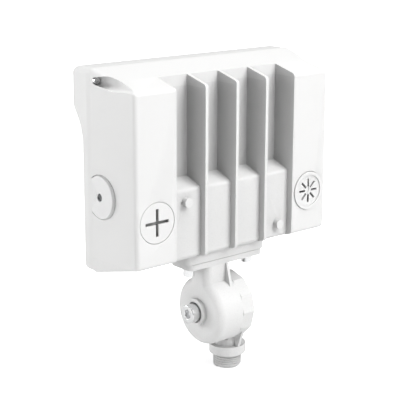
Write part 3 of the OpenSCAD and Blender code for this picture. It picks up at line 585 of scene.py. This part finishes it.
def ledGrid(name, mesh, slot):
    low, high = (Vector(corner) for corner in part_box("leds"))
    middle = ((low.x + high.x) / 2, low.y, (low.z + high.z) / 2)
    sizes = {"Columns": leds["columns"], "Rows": leds["rows"], "Pitch": leds["pitch"]}
    graph = Graph(name + "Tree", sizes)
    columns, rows, pitch = (graph.given(key) for key in sizes)
    points = graph.node("GeometryNodeMeshGrid", Size_X=(columns - 1.0) * pitch, Size_Y=(rows - 1.0) * pitch,
                        Vertices_X=columns, Vertices_Y=rows)
    upright = graph.node("GeometryNodeTransform", Geometry=points, Rotation=(math.pi / 2, 0, 0),
                         Translation=middle)
    placed = graph.node("GeometryNodeInstanceOnPoints", Points=upright, Instance=graph.given("Geometry"))
    made = graph.run(placed, finishes[slot], mesh)
    smoothFaces(made, leds["smooth"])
    addPiece(name, made, "head", slot, "leds")


ledBody = blockMesh("ledBody", (leds["side"], leds["body"], leds["side"]), leds["corner"])
ledGrid("ledBodies", ledBody, "board_mask")
ledGrid("ledPads", blockMesh("ledPad", leds["pad"]), "bright_sheet")
ledGrid("ledDomes", domeMesh("ledDome"), "phosphor")
print("light sources placed")


# Camera and light
view = {"turn": 40.85, "rise": 13.27, "roll": 0.48, "aim": 140 * mm, "distance": 831.8 * mm,
        "lens": 99.73, "film": 36, "shift": (-0.0497, -0.0961), "near": 0.05, "far": 30}


def placeCamera():
    turn, rise, roll = (math.radians(view[key]) for key in ("turn", "rise", "roll"))
    back = Vector((math.sin(turn) * math.cos(rise), math.cos(turn) * math.cos(rise), math.sin(rise)))
    right = Vector((-math.cos(turn), math.sin(turn), 0))
    up = back.cross(right)
    side = math.cos(roll) * right + math.sin(roll) * up
    top = math.cos(roll) * up - math.sin(roll) * right
    data = bpy.data.cameras.new("camera")
    data.lens = view["lens"]
    data.sensor_width = view["film"]
    data.shift_x, data.shift_y = view["shift"]
    data.clip_start = view["near"]
    data.clip_end = view["far"]
    camera = bpy.data.objects.new("camera", data)
    bpy.context.scene.collection.objects.link(camera)
    facing = Matrix((side, top, back)).transposed().to_4x4()
    camera.matrix_world = Matrix.Translation(Vector((0, 0, view["aim"])) + back * view["distance"]) @ facing
    bpy.context.scene.camera = camera


lamps = {
    "rear": {"at": (-0.6, 1.5, 0.95), "size": 1.0, "watts": 15.9},
    "left": {"at": (1.6, -0.35, 0.45), "size": 1.0, "watts": 4.2},
    "leftRear": {"at": (1.75, 0.5, 0.35), "size": 1.0, "watts": 5.0},
    "leftFront": {"at": (1.0, -1.4, 0.2), "size": 1.2, "watts": 20.0},
    "topRear": {"at": (-0.3, 1.1, 1.6), "size": 1.0, "watts": 15.0},
    "overhead": {"at": (0.0, 0.1, 1.9), "size": 1.2, "watts": 20.6},
}


def placeLamps():
    aim = Vector((0, 0, view["aim"]))
    for name, lamp in lamps.items():
        data = bpy.data.lights.new(name, "AREA")
        data.shape = "SQUARE"
        data.size = lamp["size"]
        data.energy = lamp["watts"]
        light = bpy.data.objects.new(name, data)
        light.location = lamp["at"]
        light.rotation_euler = (aim - Vector(lamp["at"])).to_track_quat("-Z", "Y").to_euler()
        bpy.context.scene.collection.objects.link(light)


def seenRays(tree):
    # 1 for what the camera sees, straight or through glass
    straight = tree.node("ShaderNodeLightPath", out="Is Camera Ray")
    return straight + tree.node("ShaderNodeLightPath", out="Is Transmission Ray")


# White to the camera, with hardly any light of its own
studio = {"colour": (1, 1, 1), "level": 0.015}


def placeStudio():
    world = bpy.data.worlds.new("studio")
    bpy.context.scene.world = world
    world.use_nodes = True
    sky = Tree(world.node_tree)
    background = sky.nodes["Background"]
    sky.feed(background.inputs["Color"], studio["colour"])
    sky.feed(background.inputs["Strength"], studio["level"] + (1 - studio["level"]) * seenRays(sky))


# White to the camera too, and whiter further out, where it runs into the studio's white
floor = {"below": 11.2 * mm, "half": 6.0, "paint": (0.82, 0.82, 0.82), "rough": 0.9, "lift": 0.8,
         "far": (0.9, 2.2), "farLift": 1.2, "mirrored": 0.22}


def placeFloor():
    half = floor["half"]
    square = ((-half, -half), (half, -half), (half, half), (-half, half))
    mesh = bpy.data.meshes.new("floor")
    mesh.from_pydata([(x, y, -floor["below"]) for x, y in square], [], [(0, 1, 2, 3)])
    sheet = bpy.data.objects.new("floor", mesh)
    bpy.context.scene.collection.objects.link(sheet)
    paint = Finish("floorPaint", Base_Color=floor["paint"], Roughness=floor["rough"], Specular_IOR_Level=0.0,
                   Emission_Color=(1, 1, 1))
    reach = paint.node("ShaderNodeVectorMath", {"operation": "LENGTH"}, paint.place, out="Value")
    far = paint.node("ShaderNodeMapRange", None, reach, *floor["far"])
    mirrored = floor["mirrored"] * paint.node("ShaderNodeLightPath", out="Is Glossy Ray")
    paint.set(Emission_Strength=seenRays(paint) * (floor["lift"] + floor["farLift"] * far) + mirrored)
    mesh.materials.append(paint.material)


placeCamera()
placeLamps()
placeStudio()
placeFloor()
bpy.context.scene.view_settings.view_transform = "Standard"
print("camera, lamps and floor placed")
